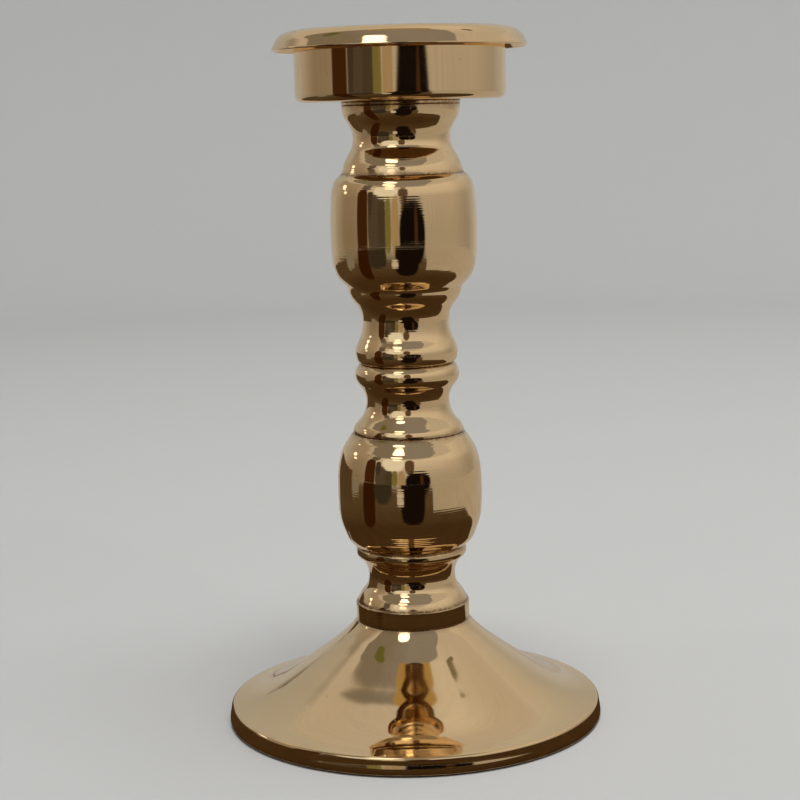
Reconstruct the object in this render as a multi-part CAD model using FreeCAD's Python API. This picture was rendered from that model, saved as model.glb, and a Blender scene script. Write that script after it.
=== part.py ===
import FreeCAD, Part
import math
import os

# A tall polished metal candle holder for a pillar candle, built up on one tie rod.
#
# From the table upwards it is a felt ring, a cast trumpet foot, three hollow turned
# castings (lower stem, middle spool, upper stem), a thin disc, a flat-bottomed sheet
# cup, and a loose candle pan whose down-turned lip hangs over the cup's edge and
# hides the nut inside it. Four turned rings centre the castings on the rod.
#
# Millimetres. +Z is up, and the origin is on the table at the centre of the foot.
# Everything but the nuts and the spring washer is turned about the Z axis.

# Driving sizes: the visible stack, from the table upwards
FELT_THICKNESS = 0.6
FOOT_HEIGHT = 31.6
LOWER_STEM_HEIGHT = 60.7
SPOOL_HEIGHT = 22.1
UPPER_STEM_HEIGHT = 80.3
DISC_THICKNESS = 1.1
CREST_HEIGHT = 21.9

# Driving sizes: the foot
FOOT_RADIUS = 60.0
FOOT_BAND_HEIGHT = 3.3
FOOT_SHOULDER_SIZE = 2.0
FOOT_TOP_INSET = 0.2
FOOT_WALL = 2.2
FOOT_LAND_WIDTH = 5.0
FOOT_LAND_DEPTH = 3.4
FOOT_WEB = 5.0
FELT_MARGIN = 0.7

# Driving sizes: the lower stem
COLLAR_RADIUS = 18.15
COLLAR_BAND_HEIGHT = 5.9
COLLAR_STEP = 0.5
LOWER_WAIST_RADIUS = 13.78
LOWER_BEAD_RADIUS = 17.6
LOWER_BEAD_NICK = 0.5
LOWER_BULB_RADIUS = 22.91
SEAM_RADIUS = 17.5

# Driving sizes: the middle spool and the V groove above it
SPOOL_WAIST_RADIUS = 13.1
SPOOL_BEAD_RADIUS = 16.45
GROOVE_DEPTH = 1.75

# Driving sizes: the upper stem
UPPER_BEAD_RISE = 1.45
UPPER_WAIST_RADIUS = 13.65
UPPER_BULB_RADIUS = 22.97
NECK_WAIST_RADIUS = 15.18
NECK_RIM_RADIUS = 18.4

# Driving sizes: disc, cup and candle pan
DISC_OVERHANG = 0.1
CUP_ROOM = 4.3
CUP_SHEET = 1.0
CUP_CORNER_RADIUS = 2.5
CUP_EDGE_RADIUS = 0.3
CANDLE_RADIUS = 25.4
CANDLE_CLEARANCE = 1.1
PAN_SHEET = 0.9
PAN_CORNER_RADIUS = 1.5
PAN_ROLL_RADIUS = 2.5
LIP_REACH = 6.8
LIP_DROP = 5.55
LIP_SEAT_GAP = 0.25

# Driving sizes: the castings' walls and ends
STEM_WALL = 2.5
END_WEB = 4.2
EDGE_BREAK = 0.3

# Driving sizes: tie rod, rings, washers and nuts
ROD_RADIUS = 3.0
ROD_CLEARANCE = 0.3
ROD_TAIL = 1.2
THREAD_CLEARANCE = 0.05
RING_RADIUS = 9.7
RING_THICKNESS = 4.0
RING_LAND = 1.7
RING_CLEARANCE = 0.15
RING_END_PLAY = 0.1
FOOT_WASHER_LAND = 6.0
FOOT_WASHER_THICKNESS = 2.0
SPRING_WASHER_RADIUS = 5.9
SPRING_WASHER_THICKNESS = 1.6
SPLIT_WIDTH = 0.8
CUP_WASHER_RADIUS = 9.0
CUP_WASHER_THICKNESS = 1.2
NUT_ACROSS_FLATS = 10.0
FOOT_NUT_HEIGHT = 5.0
CUP_NUT_HEIGHT = 3.2
NUT_ROOM = 1.4

# Angles, in degrees
LIP_SHOULDER_LEAN = 92.0
LIP_KNEE_LEAN = 138.0
LIP_EDGE_LEAN = 153.0
SPLIT_ANGLE = 20.0
FULL_TURN = 360.0

# A hexagon's sides, and one overrun for every cut
HEX_SIDES = 6
OVERRUN = 1.0

# Heights of the outline's stations, as shares of each casting's own height
foot_level_shares = {"sweep": 0.554, "top": 0.991}
lower_level_shares = {
    "flare": 0.132, "throat": 0.165, "waist": 0.241, "bead_foot": 0.313, "bead": 0.366,
    "nick": 0.392, "bulb_foot": 0.425, "bulb_low": 0.496, "bulb": 0.689, "bulb_high": 0.853,
    "bulb_top": 0.934,
}
spool_level_shares = {
    "flange": 0.086, "throat": 0.186, "waist": 0.457, "bead_foot": 0.697, "bead": 0.828,
}
upper_level_shares = {
    "bead": 0.045, "bead_top": 0.090, "waist": 0.172, "flare": 0.239, "collar": 0.286,
    "bulb_foot": 0.326, "bulb_low": 0.405, "bulb": 0.517, "bulb_high": 0.660, "neck_foot": 0.7375,
    "neck_slope": 0.787, "neck_waist": 0.8715, "neck_flare": 0.939, "neck_rim": 0.984,
}

# Radii between two named radii, as the share of the way from the first to the second
foot_sweep_share = 0.379
collar_flare_shares = {"flare": 0.755, "throat": 0.37}
lower_bead_foot_share = 0.372
lower_bulb_shares = {"foot": 0.375, "low": 0.74, "high": 0.878, "top": 0.573}
spool_throat_shares = {"flange": 0.91, "throat": 0.523}
spool_bead_foot_share = 0.627
upper_bead_top_share = 0.56
upper_collar_share = 0.4325
upper_flare_share = 0.546
upper_bulb_shares = {"foot": 0.44, "low": 0.911, "high": 0.902}
neck_foot_share = 0.516
neck_slope_share = 0.675
neck_flare_share = 0.565

# The lip's stations as shares of its drop, its knee as a share of its reach past the cup,
# and the rod's flat end as a share of its radius
lip_level_shares = {"shoulder": 0.027, "knee": 0.36}
lip_knee_share = 0.691
rod_end_share = 0.8

# Levels of the stack, each from the one below
FOOT_LOW = FELT_THICKNESS
FOOT_HIGH = FOOT_LOW + FOOT_HEIGHT
SEAM_LEVEL = FOOT_HIGH + LOWER_STEM_HEIGHT
GROOVE_LEVEL = SEAM_LEVEL + SPOOL_HEIGHT
NECK_TOP = GROOVE_LEVEL + UPPER_STEM_HEIGHT
CUP_LOW = NECK_TOP + DISC_THICKNESS
CREST_LEVEL = CUP_LOW + CREST_HEIGHT
LIP_LEVEL = CREST_LEVEL - LIP_DROP
WEB_UNDERSIDE = FOOT_HIGH - FOOT_WEB

# Radii that pieces share, each from the piece that it must fit
ROD_HOLE_RADIUS = ROD_RADIUS + ROD_CLEARANCE
END_BORE_RADIUS = RING_RADIUS - RING_LAND
FOOT_WASHER_RADIUS = END_BORE_RADIUS + FOOT_WASHER_LAND
FOOT_TOP_RADIUS = COLLAR_RADIUS - FOOT_TOP_INSET
GROOVE_RADIUS = SPOOL_BEAD_RADIUS - GROOVE_DEPTH
UPPER_BEAD_RADIUS = GROOVE_RADIUS + UPPER_BEAD_RISE
DISC_RADIUS = NECK_RIM_RADIUS + DISC_OVERHANG
PAN_BORE_RADIUS = CANDLE_RADIUS + CANDLE_CLEARANCE
PAN_WALL_RADIUS = PAN_BORE_RADIUS + PAN_SHEET
CUP_RADIUS = PAN_WALL_RADIUS + CUP_ROOM + CUP_SHEET
LIP_RADIUS = CUP_RADIUS + LIP_REACH


def between(first, second, share):
    """The length that lies the given share of the way from first to second."""
    return first + (second - first) * share


def direction(lean):
    """Unit vector in the XZ plane, lean degrees from +Z towards +X."""
    angle = math.radians(lean)
    return FreeCAD.Vector(math.sin(angle), 0, math.cos(angle))


def point(station):
    """The station's place in the XZ plane."""
    return FreeCAD.Vector(station[0], 0, station[1])


def tangent_arc(start, heading, end):
    """Edge from start to end that leaves start along heading: an arc, or a line if straight."""
    chord = end - start
    along = heading.dot(chord)
    across = heading.cross(chord).Length
    if across < chord.Length * 1e-6:
        return Part.LineSegment(start, end).toShape()
    bend = math.atan2(across, along)
    side = heading * chord.Length - chord * (along / chord.Length)
    side.normalize()
    middle = start + chord / 2 + side * (chord.Length / 2 * math.tan(bend / 2))
    return Part.Arc(start, middle, end).toShape()


def join_stations(first, second):
    """Two arcs that meet smoothly and keep the lean of both stations.

    A station is (radius, level, lean). The arcs' control lengths are equal, which fixes
    the point where they meet.
    """
    start, finish = point(first), point(second)
    heading, arrival = direction(first[2]), direction(second[2])
    gap = finish - start
    reach = gap.dot(heading + arrival)
    spread = 2 * (1 - heading.dot(arrival))
    if spread < 1e-9:
        length = gap.dot(gap) / (2 * reach)
    else:
        length = (math.sqrt(reach * reach + spread * gap.dot(gap)) - reach) / spread
    before = start + heading * length
    after = finish - arrival * length
    meeting = (before + after) / 2
    turn = after - before
    turn.normalize()
    return [tangent_arc(start, heading, meeting), tangent_arc(meeting, turn, finish)]


def smooth_run(stations):
    """Edges of a smooth outline through the stations."""
    edges = []
    for first, second in zip(stations, stations[1:]):
        edges += join_stations(first, second)
    return edges


def line(start, end):
    """Straight edge between two (radius, level) points."""
    return Part.LineSegment(point(start), point(end)).toShape()


def spin(edges):
    """Solid turned about Z from edges that run from one axis point to another."""
    first = edges[0].firstVertex(True).Point
    last = edges[-1].lastVertex(True).Point
    axis_edge = Part.LineSegment(last, first).toShape()
    face = Part.Face(Part.Wire(edges + [axis_edge]))
    solid = face.revolve(FreeCAD.Vector(), FreeCAD.Vector(0, 0, 1), FULL_TURN)
    if solid.Volume < 0:
        solid.reverse()
    return solid


def turned_body(runs):
    """Solid whose outline is smooth runs that meet at corners, with flat ends to the axis."""
    start, end = runs[0][0], runs[-1][-1]
    edges = [line((0, start[1]), start)]
    for stations in runs:
        edges += smooth_run(stations)
    edges.append(line(end, (0, end[1])))
    return spin(edges)


def inset(station, wall):
    """The station moved square to its lean, towards the axis side, by the wall."""
    radius, level, lean = station
    angle = math.radians(lean)
    return (radius - wall * math.cos(angle), level + wall * math.sin(angle), lean)


def cylinder(radius, low, high):
    """Upright cylinder on the Z axis between two levels."""
    return Part.makeCylinder(radius, high - low, FreeCAD.Vector(0, 0, low))


def ring(outer, inner, low, high):
    """Flat ring between two radii and two levels."""
    return cylinder(outer, low, high).cut(cylinder(inner, low - OVERRUN, high + OVERRUN))


def broken_ring(outer, inner, low, high, edge):
    """Ring whose two outer edges are rounded by edge."""
    outline = [
        (outer - edge, low, 90),
        (outer, low + edge, 0),
        (outer, high - edge, 0),
        (outer - edge, high, -90),
    ]
    return turned_body([outline]).cut(cylinder(inner, low - OVERRUN, high + OVERRUN))


def core(stations, low, high):
    """Hollow of a casting: inset stations, run straight down and up to two flat ends."""
    inner = [inset(station, STEM_WALL) for station in stations]
    bottom = (inner[0][0], low)
    top = (inner[-1][0], high)
    edges = [line((0, low), bottom), line(bottom, inner[0])]
    edges += smooth_run(inner)
    edges += [line(inner[-1], top), line(top, (0, high))]
    return spin(edges)


def ring_seat(face_level, inward):
    """Cut for half a centring ring in a casting's end; inward is +1 or -1 along Z."""
    depth = RING_THICKNESS / 2 + RING_END_PLAY
    levels = sorted((face_level - inward * OVERRUN, face_level + inward * depth))
    return cylinder(RING_RADIUS + RING_CLEARANCE, levels[0], levels[1])


def hollow_casting(body, hollow, low, high):
    """Casting with its core, an open bore at both ends and a ring seat in each end."""
    body = body.cut(hollow)
    body = body.cut(cylinder(END_BORE_RADIUS, low - OVERRUN, high + OVERRUN))
    body = body.cut(ring_seat(low, 1))
    return body.cut(ring_seat(high, -1))


def make_foot():
    """Trumpet foot: rim band, rounded shoulder, long sweep up to the collar's seat."""
    shoulder = FOOT_LOW + FOOT_BAND_HEIGHT + FOOT_SHOULDER_SIZE
    sweep_radius = between(FOOT_TOP_RADIUS, FOOT_RADIUS, foot_sweep_share)
    sweep = (sweep_radius, FOOT_LOW + FOOT_HEIGHT * foot_level_shares["sweep"], -55)
    throat = (FOOT_TOP_RADIUS + EDGE_BREAK, FOOT_LOW + FOOT_HEIGHT * foot_level_shares["top"], -42)
    outline = [
        (FOOT_RADIUS - EDGE_BREAK, FOOT_LOW, 90),
        (FOOT_RADIUS, FOOT_LOW + EDGE_BREAK, 0),
        (FOOT_RADIUS, FOOT_LOW + FOOT_BAND_HEIGHT, 0),
        (FOOT_RADIUS - FOOT_SHOULDER_SIZE, shoulder, -78),
        sweep,
        throat,
        (FOOT_TOP_RADIUS - EDGE_BREAK, FOOT_HIGH, -90),
    ]
    body = turned_body([outline])
    land_radius = FOOT_RADIUS - FOOT_LAND_WIDTH
    land_top = (land_radius, FOOT_LOW + FOOT_LAND_DEPTH, -72)
    under = [land_top, inset(sweep, FOOT_WALL), inset(throat, FOOT_WALL)]
    mouth = (land_radius, FOOT_LOW - OVERRUN)
    edges = [line((0, mouth[1]), mouth), line(mouth, land_top)] + smooth_run(under)
    edges.append(line(under[-1], (0, under[-1][1])))
    hollow = spin(edges).common(cylinder(FOOT_RADIUS, FOOT_LOW - OVERRUN, WEB_UNDERSIDE))
    body = body.cut(hollow)
    body = body.cut(cylinder(END_BORE_RADIUS, FOOT_LOW, FOOT_HIGH + OVERRUN))
    return body.cut(ring_seat(FOOT_HIGH, -1))


def make_foot_felt():
    """Felt ring glued under the rim, just inside both of its edges."""
    outer = FOOT_RADIUS - FELT_MARGIN
    inner = FOOT_RADIUS - FOOT_LAND_WIDTH + FELT_MARGIN
    return ring(outer, inner, 0, FELT_THICKNESS)


def lower_stations():
    """Outer stations of the lower stem, in runs that meet at sharp corners."""
    height = LOWER_STEM_HEIGHT
    level = {name: FOOT_HIGH + height * share for name, share in lower_level_shares.items()}
    band_top = FOOT_HIGH + COLLAR_BAND_HEIGHT
    step_radius = COLLAR_RADIUS - COLLAR_STEP
    waist, bulb = LOWER_WAIST_RADIUS, LOWER_BULB_RADIUS
    flare = between(waist, step_radius, collar_flare_shares["flare"])
    throat = between(waist, step_radius, collar_flare_shares["throat"])
    bead_foot = between(waist, LOWER_BEAD_RADIUS, lower_bead_foot_share)
    nick = LOWER_BEAD_RADIUS - LOWER_BEAD_NICK
    swell = {name: between(nick, bulb, share) for name, share in lower_bulb_shares.items()}
    band = [
        (COLLAR_RADIUS - EDGE_BREAK, FOOT_HIGH, 90),
        (COLLAR_RADIUS, FOOT_HIGH + EDGE_BREAK, 0),
        (COLLAR_RADIUS, band_top - COLLAR_STEP, 0),
        (step_radius, band_top, -80),
    ]
    waist_run = [
        (step_radius, band_top, -15),
        (flare, level["flare"], -28),
        (throat, level["throat"], -42),
        (waist, level["waist"], 0),
        (bead_foot, level["bead_foot"], 35),
        (LOWER_BEAD_RADIUS, level["bead"], 0),
        (nick, level["nick"], -50),
    ]
    bulb_run = [
        (nick, level["nick"], 55),
        (swell["foot"], level["bulb_foot"], 42),
        (swell["low"], level["bulb_low"], 22),
        (bulb, level["bulb"], 0),
        (swell["high"], level["bulb_high"], -12),
        (swell["top"], level["bulb_top"], -33),
        (SEAM_RADIUS, SEAM_LEVEL, -50),
    ]
    return band, waist_run, bulb_run


def make_lower_stem():
    """Lower casting: collar band, waist, bead and lower bulb."""
    band, waist_run, bulb_run = lower_stations()
    body = turned_body([band, waist_run, bulb_run])
    core_run = waist_run[1:4] + bulb_run[1:6]
    hollow = core(core_run, FOOT_HIGH + END_WEB, SEAM_LEVEL - END_WEB)
    return hollow_casting(body, hollow, FOOT_HIGH, SEAM_LEVEL)


def make_middle_spool():
    """Short casting between the seam and the V groove: flange, waist and bead."""
    level = {name: SEAM_LEVEL + SPOOL_HEIGHT * share for name, share in spool_level_shares.items()}
    waist = SPOOL_WAIST_RADIUS
    outline = [
        (SEAM_RADIUS - EDGE_BREAK, SEAM_LEVEL, 90),
        (SEAM_RADIUS, SEAM_LEVEL + EDGE_BREAK, 0),
        (between(waist, SEAM_RADIUS, spool_throat_shares["flange"]), level["flange"], -22),
        (between(waist, SEAM_RADIUS, spool_throat_shares["throat"]), level["throat"], -42),
        (waist, level["waist"], 0),
        (between(waist, SPOOL_BEAD_RADIUS, spool_bead_foot_share), level["bead_foot"], 42),
        (SPOOL_BEAD_RADIUS, level["bead"], 0),
        (GROOVE_RADIUS, GROOVE_LEVEL, -55),
    ]
    body = turned_body([outline])
    low, high = SEAM_LEVEL + END_WEB, GROOVE_LEVEL - END_WEB
    return hollow_casting(body, cylinder(waist - STEM_WALL, low, high), SEAM_LEVEL, GROOVE_LEVEL)


def upper_stations():
    """Outer stations of the upper stem: bead to bulb, then the neck."""
    height = UPPER_STEM_HEIGHT
    level = {name: GROOVE_LEVEL + height * share for name, share in upper_level_shares.items()}
    waist, bulb = UPPER_WAIST_RADIUS, UPPER_BULB_RADIUS
    collar = between(waist, bulb, upper_collar_share)
    neck_foot = between(NECK_WAIST_RADIUS, bulb, neck_foot_share)
    swell = {name: between(collar, bulb, share) for name, share in upper_bulb_shares.items()}
    bulb_run = [
        (GROOVE_RADIUS, GROOVE_LEVEL, 60),
        (UPPER_BEAD_RADIUS, level["bead"], 0),
        (between(waist, UPPER_BEAD_RADIUS, upper_bead_top_share), level["bead_top"], -27),
        (waist, level["waist"], 0),
        (between(waist, collar, upper_flare_share), level["flare"], 40),
        (collar, level["collar"], 8),
        (swell["foot"], level["bulb_foot"], 42),
        (swell["low"], level["bulb_low"], 7),
        (bulb, level["bulb"], 0),
        (swell["high"], level["bulb_high"], -5),
        (neck_foot, level["neck_foot"], -64),
    ]
    neck_run = [
        (neck_foot, level["neck_foot"], -20),
        (between(NECK_WAIST_RADIUS, neck_foot, neck_slope_share), level["neck_slope"], -26),
        (NECK_WAIST_RADIUS, level["neck_waist"], 0),
        (between(NECK_WAIST_RADIUS, NECK_RIM_RADIUS, neck_flare_share), level["neck_flare"], 36),
        (NECK_RIM_RADIUS, level["neck_rim"], 3),
        (NECK_RIM_RADIUS, NECK_TOP - EDGE_BREAK, 0),
        (NECK_RIM_RADIUS - EDGE_BREAK, NECK_TOP, -90),
    ]
    return bulb_run, neck_run


def make_upper_stem():
    """Upper casting: bead, waist, upper bulb and neck."""
    bulb_run, neck_run = upper_stations()
    body = turned_body([bulb_run, neck_run])
    core_run = bulb_run[2:10] + neck_run[1:3]
    hollow = core(core_run, GROOVE_LEVEL + END_WEB, NECK_TOP - END_WEB)
    return hollow_casting(body, hollow, GROOVE_LEVEL, NECK_TOP)


def make_centring_ring(seat_level, thickness):
    """Turned ring that stands on the ring seat below seat_level and runs on the tie rod."""
    low = seat_level - RING_THICKNESS / 2 - RING_END_PLAY
    return broken_ring(RING_RADIUS, ROD_HOLE_RADIUS, low, low + thickness, EDGE_BREAK)


def make_cup_disc():
    """Thin disc between the neck and the cup, a little wider than the neck."""
    return broken_ring(DISC_RADIUS, ROD_HOLE_RADIUS, NECK_TOP, CUP_LOW, EDGE_BREAK)


def lip_stations():
    """Top side of the pan's lip: shoulder over the cup's wall, knee, and edge."""
    level = {}
    for name, share in lip_level_shares.items():
        level[name] = between(CREST_LEVEL, LIP_LEVEL, share)
    shoulder_radius = CUP_RADIUS - PAN_SHEET * math.cos(math.radians(LIP_SHOULDER_LEAN))
    knee_radius = between(CUP_RADIUS, LIP_RADIUS, lip_knee_share)
    return [
        (shoulder_radius, level["shoulder"], LIP_SHOULDER_LEAN),
        (knee_radius, level["knee"], LIP_KNEE_LEAN),
        (LIP_RADIUS, LIP_LEVEL, LIP_EDGE_LEAN),
    ]


def under_lip(station):
    """The lip station moved square to the sheet, down to its underside."""
    radius, level, lean = station
    angle = math.radians(lean)
    return (radius + PAN_SHEET * math.cos(angle), level - PAN_SHEET * math.sin(angle), lean)


def back(stations):
    """The same stations, run the other way."""
    return [(radius, level, lean + FULL_TURN / 2) for radius, level, lean in reversed(stations)]


def pan_floor_underside():
    """Level of the pan's underside, clear of the rod's end and the cup's nut."""
    return CUP_LOW + CUP_SHEET + CUP_WASHER_THICKNESS + CUP_NUT_HEIGHT + ROD_TAIL + NUT_ROOM


def make_candle_pan():
    """Pressed pan: flat floor, upright wall, rolled crest and umbrella lip."""
    underside = pan_floor_underside()
    floor = underside + PAN_SHEET
    bore = PAN_BORE_RADIUS
    wall_top = CREST_LEVEL - PAN_ROLL_RADIUS
    inner = [
        (bore - PAN_CORNER_RADIUS, floor, 90),
        (bore, floor + PAN_CORNER_RADIUS, 0),
        (bore, wall_top, 0),
        (bore + PAN_ROLL_RADIUS, CREST_LEVEL, 90),
    ] + lip_stations()
    corner = PAN_CORNER_RADIUS + PAN_SHEET
    outer = [
        (PAN_WALL_RADIUS - corner, underside, 90),
        (PAN_WALL_RADIUS, underside + corner, 0),
        (PAN_WALL_RADIUS, wall_top, 0),
        (bore + PAN_ROLL_RADIUS, CREST_LEVEL - PAN_SHEET, 90),
    ] + [under_lip(station) for station in lip_stations()]
    edges = [line((0, floor), inner[0])] + smooth_run(inner)
    edges.append(rolled_edge(inner[-1], outer[-1]))
    edges += smooth_run(back(outer))
    edges.append(line(outer[0], (0, underside)))
    return spin(edges)


def rolled_edge(top, under):
    """Half-round edge of the sheet between its two sides."""
    tip = (point(top) + point(under)) / 2 + direction(top[2]) * (PAN_SHEET / 2)
    return Part.Arc(point(top), tip, point(under)).toShape()


def cup_edge_level():
    """Level of the cup's top edge, just under the lip that hangs over it."""
    return under_lip(lip_stations()[0])[1] - LIP_SEAT_GAP


def make_cup():
    """Spun sheet cup: flat floor, small round corner and a plain upright wall."""
    top = cup_edge_level()
    corner, edge = CUP_CORNER_RADIUS, CUP_EDGE_RADIUS
    inner_radius = CUP_RADIUS - CUP_SHEET
    inner_corner = corner - CUP_SHEET
    outer = [
        (CUP_RADIUS - corner, CUP_LOW, 90),
        (CUP_RADIUS, CUP_LOW + corner, 0),
        (CUP_RADIUS, top - edge, 0),
        (CUP_RADIUS - edge, top, -90),
    ]
    inner = [
        (inner_radius - inner_corner, CUP_LOW + CUP_SHEET, 90),
        (inner_radius, CUP_LOW + corner, 0),
        (inner_radius, top - edge, 0),
        (inner_radius + edge, top, 90),
    ]
    floor = CUP_LOW + CUP_SHEET
    edges = [line((0, CUP_LOW), outer[0])] + smooth_run(outer)
    edges.append(line(outer[-1], inner[-1]))
    edges += smooth_run(back(inner))
    edges.append(line(inner[0], (0, floor)))
    return spin(edges).cut(cylinder(ROD_HOLE_RADIUS, CUP_LOW - OVERRUN, floor + OVERRUN))


def make_hex_nut(low, height):
    """Hexagon nut on the rod, its six corners turned off at both ends."""
    corner_radius = NUT_ACROSS_FLATS / 2 / math.cos(math.pi / HEX_SIDES)
    corners = []
    for side in range(HEX_SIDES + 1):
        angle = 2 * math.pi * side / HEX_SIDES
        across = FreeCAD.Vector(math.cos(angle), math.sin(angle), 0) * corner_radius
        corners.append(across + FreeCAD.Vector(0, 0, low))
    blank = Part.Face(Part.makePolygon(corners)).extrude(FreeCAD.Vector(0, 0, height))
    face_radius = NUT_ACROSS_FLATS / 2
    chamfer = (corner_radius - face_radius) / 2
    outline = [(0, low), (face_radius, low), (corner_radius, low + chamfer)]
    outline += [(corner_radius, low + height - chamfer), (face_radius, low + height)]
    outline += [(0, low + height)]
    edges = [line(start, end) for start, end in zip(outline, outline[1:])]
    nut = blank.common(spin(edges))
    return nut.cut(cylinder(ROD_RADIUS + THREAD_CLEARANCE, low - OVERRUN, low + height + OVERRUN))


def make_spring_washer(low):
    """Spring washer pressed flat: a ring with one slanting cut through it."""
    high = low + SPRING_WASHER_THICKNESS
    washer = ring(SPRING_WASHER_RADIUS, ROD_HOLE_RADIUS, low, high)
    length = SPRING_WASHER_RADIUS + OVERRUN
    height = SPRING_WASHER_THICKNESS + 2 * OVERRUN
    corner = FreeCAD.Vector(0, -SPLIT_WIDTH / 2, low - OVERRUN)
    slit = Part.makeBox(length, SPLIT_WIDTH, height, corner)
    middle = FreeCAD.Vector(0, 0, low + SPRING_WASHER_THICKNESS / 2)
    slit.rotate(middle, FreeCAD.Vector(1, 0, 0), SPLIT_ANGLE)
    return washer.cut(slit)


def make_tie_rod(low, high):
    """Rod through the whole stack, with a chamfer on each end."""
    chamfer = ROD_RADIUS - ROD_RADIUS * rod_end_share
    outline = [
        (0, low), (ROD_RADIUS - chamfer, low), (ROD_RADIUS, low + chamfer),
        (ROD_RADIUS, high - chamfer), (ROD_RADIUS - chamfer, high), (0, high),
    ]
    return spin([line(start, end) for start, end in zip(outline, outline[1:])])


def build_parts():
    """Every piece of the candle holder, by node name."""
    washer_low = WEB_UNDERSIDE - FOOT_WASHER_THICKNESS
    spring_low = washer_low - SPRING_WASHER_THICKNESS
    foot_nut_low = spring_low - FOOT_NUT_HEIGHT
    cup_floor = CUP_LOW + CUP_SHEET
    cup_nut_low = cup_floor + CUP_WASHER_THICKNESS
    rod_top = cup_nut_low + CUP_NUT_HEIGHT + ROD_TAIL
    foot_washer = broken_ring(
        FOOT_WASHER_RADIUS, ROD_HOLE_RADIUS, washer_low, WEB_UNDERSIDE, EDGE_BREAK
    )
    cup_washer = broken_ring(
        CUP_WASHER_RADIUS, ROD_HOLE_RADIUS, cup_floor, cup_nut_low, EDGE_BREAK
    )
    return {
        "foot_felt": make_foot_felt(),
        "foot": make_foot(),
        "lower_stem": make_lower_stem(),
        "middle_spool": make_middle_spool(),
        "upper_stem": make_upper_stem(),
        "cup_disc": make_cup_disc(),
        "cup": make_cup(),
        "candle_pan": make_candle_pan(),
        "tie_rod": make_tie_rod(foot_nut_low - ROD_TAIL, rod_top),
        "foot_centring_ring": make_centring_ring(FOOT_HIGH, RING_THICKNESS),
        "seam_centring_ring": make_centring_ring(SEAM_LEVEL, RING_THICKNESS),
        "groove_centring_ring": make_centring_ring(GROOVE_LEVEL, RING_THICKNESS),
        "neck_centring_ring": make_centring_ring(NECK_TOP, RING_THICKNESS / 2),
        "foot_washer": foot_washer,
        "foot_spring_washer": make_spring_washer(spring_low),
        "foot_nut": make_hex_nut(foot_nut_low, FOOT_NUT_HEIGHT),
        "cup_washer": cup_washer,
        "cup_nut": make_hex_nut(cup_nut_low, CUP_NUT_HEIGHT),
    }


def main():
    """Write one STEP file for each piece."""
    os.makedirs("parts", exist_ok=True)
    for name, shape in build_parts().items():
        if not shape.isValid():
            raise RuntimeError(name + " is not a valid solid")
        shape.exportStep("parts/" + name + ".step")
        print(f"{name:21s} solids {len(shape.Solids)} volume {shape.Volume:9.1f} cubic mm")


main()
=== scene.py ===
"""Pillar candle holder of polished gold castings, with its hardware, felt and studio."""

import math

import bpy
import numpy as np
from bpy.props import FloatProperty, FloatVectorProperty, IntProperty, PointerProperty
from mathutils import Matrix, Vector


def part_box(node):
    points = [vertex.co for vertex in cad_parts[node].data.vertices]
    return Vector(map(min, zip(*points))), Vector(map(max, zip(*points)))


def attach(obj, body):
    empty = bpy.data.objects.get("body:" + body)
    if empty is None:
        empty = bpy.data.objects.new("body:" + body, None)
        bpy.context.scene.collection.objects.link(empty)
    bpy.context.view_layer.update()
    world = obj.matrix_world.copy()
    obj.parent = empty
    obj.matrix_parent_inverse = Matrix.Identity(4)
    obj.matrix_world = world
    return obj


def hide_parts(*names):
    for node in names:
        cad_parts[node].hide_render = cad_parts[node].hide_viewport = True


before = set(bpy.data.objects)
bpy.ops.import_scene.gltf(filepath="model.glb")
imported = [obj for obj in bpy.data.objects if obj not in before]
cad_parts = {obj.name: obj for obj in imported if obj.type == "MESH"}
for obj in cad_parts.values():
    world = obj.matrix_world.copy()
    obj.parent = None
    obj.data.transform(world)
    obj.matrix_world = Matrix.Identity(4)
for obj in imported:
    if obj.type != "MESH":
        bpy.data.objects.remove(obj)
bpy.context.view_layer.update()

bl_info = {
    "name": "Pillar Candle Holder",
    "version": (1, 0, 0),
    "blender": (4, 5, 0),
    "location": "3D View > Sidebar > Candle Holder",
    "description": "Dresses a turned and polished candle holder and sets up its studio",
    "category": "Object",
}

MM = 0.001

# Lean of an outline that runs level, away from the axis
OUTWARD = math.pi / 2

# Longest step and largest turn between two rows of an outline
ROW_STEP = 1.8 * MM
ROW_TURN = 0.09

# Level of the holder's middle, from which the studio's patches are placed
MIDDLE = 0.11

# Outline stations: share of the piece's radius, share of its height, lean in degrees from up
foot_outline = [
    (0.995, 0.0, 90), (1.0, 0.0095, 0), (0.99083, 0.138, -7), (0.976, 0.1722, -80),
    (0.91667, 0.1943, -78.2), (0.83333, 0.2445, -67.7), (0.75, 0.3241, -60.5),
    (0.66667, 0.4246, -56.2), (0.56667, 0.5581, -54.7), (0.43833, 0.7388, -52.6),
    (0.36667, 0.8557, -47.6), (0.30417, 0.991, -36), (0.29417, 1.0, -90),
]
collar_band_outline = [
    (0.77914, 0.0, 90), (0.79223, 0.00494, 0), (0.79223, 0.08896, 0), (0.77041, 0.0972, -80),
]
lower_waist_outline = [
    (0.77041, 0.0972, -15), (0.72902, 0.132, -28), (0.66401, 0.165, -42), (0.60148, 0.241, 0),
    (0.6635, 0.313, 35), (0.76822, 0.366, 0), (0.7464, 0.392, -50),
]
lower_bulb_outline = [
    (0.7464, 0.392, 55), (0.8415, 0.425, 42), (0.93406, 0.496, 22), (1.0, 0.689, 0),
    (0.96906, 0.853, -12), (0.89171, 0.934, -33), (0.76386, 1.0, -50),
]
spool_outline = [
    (0.98286, 0.0, 90), (1.0, 0.01357, 0), (0.97737, 0.086, -22), (0.88006, 0.186, -42),
    (0.74857, 0.457, 0), (0.86859, 0.697, 42), (0.94, 0.828, 0), (0.84, 1.0, -55),
]
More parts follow.
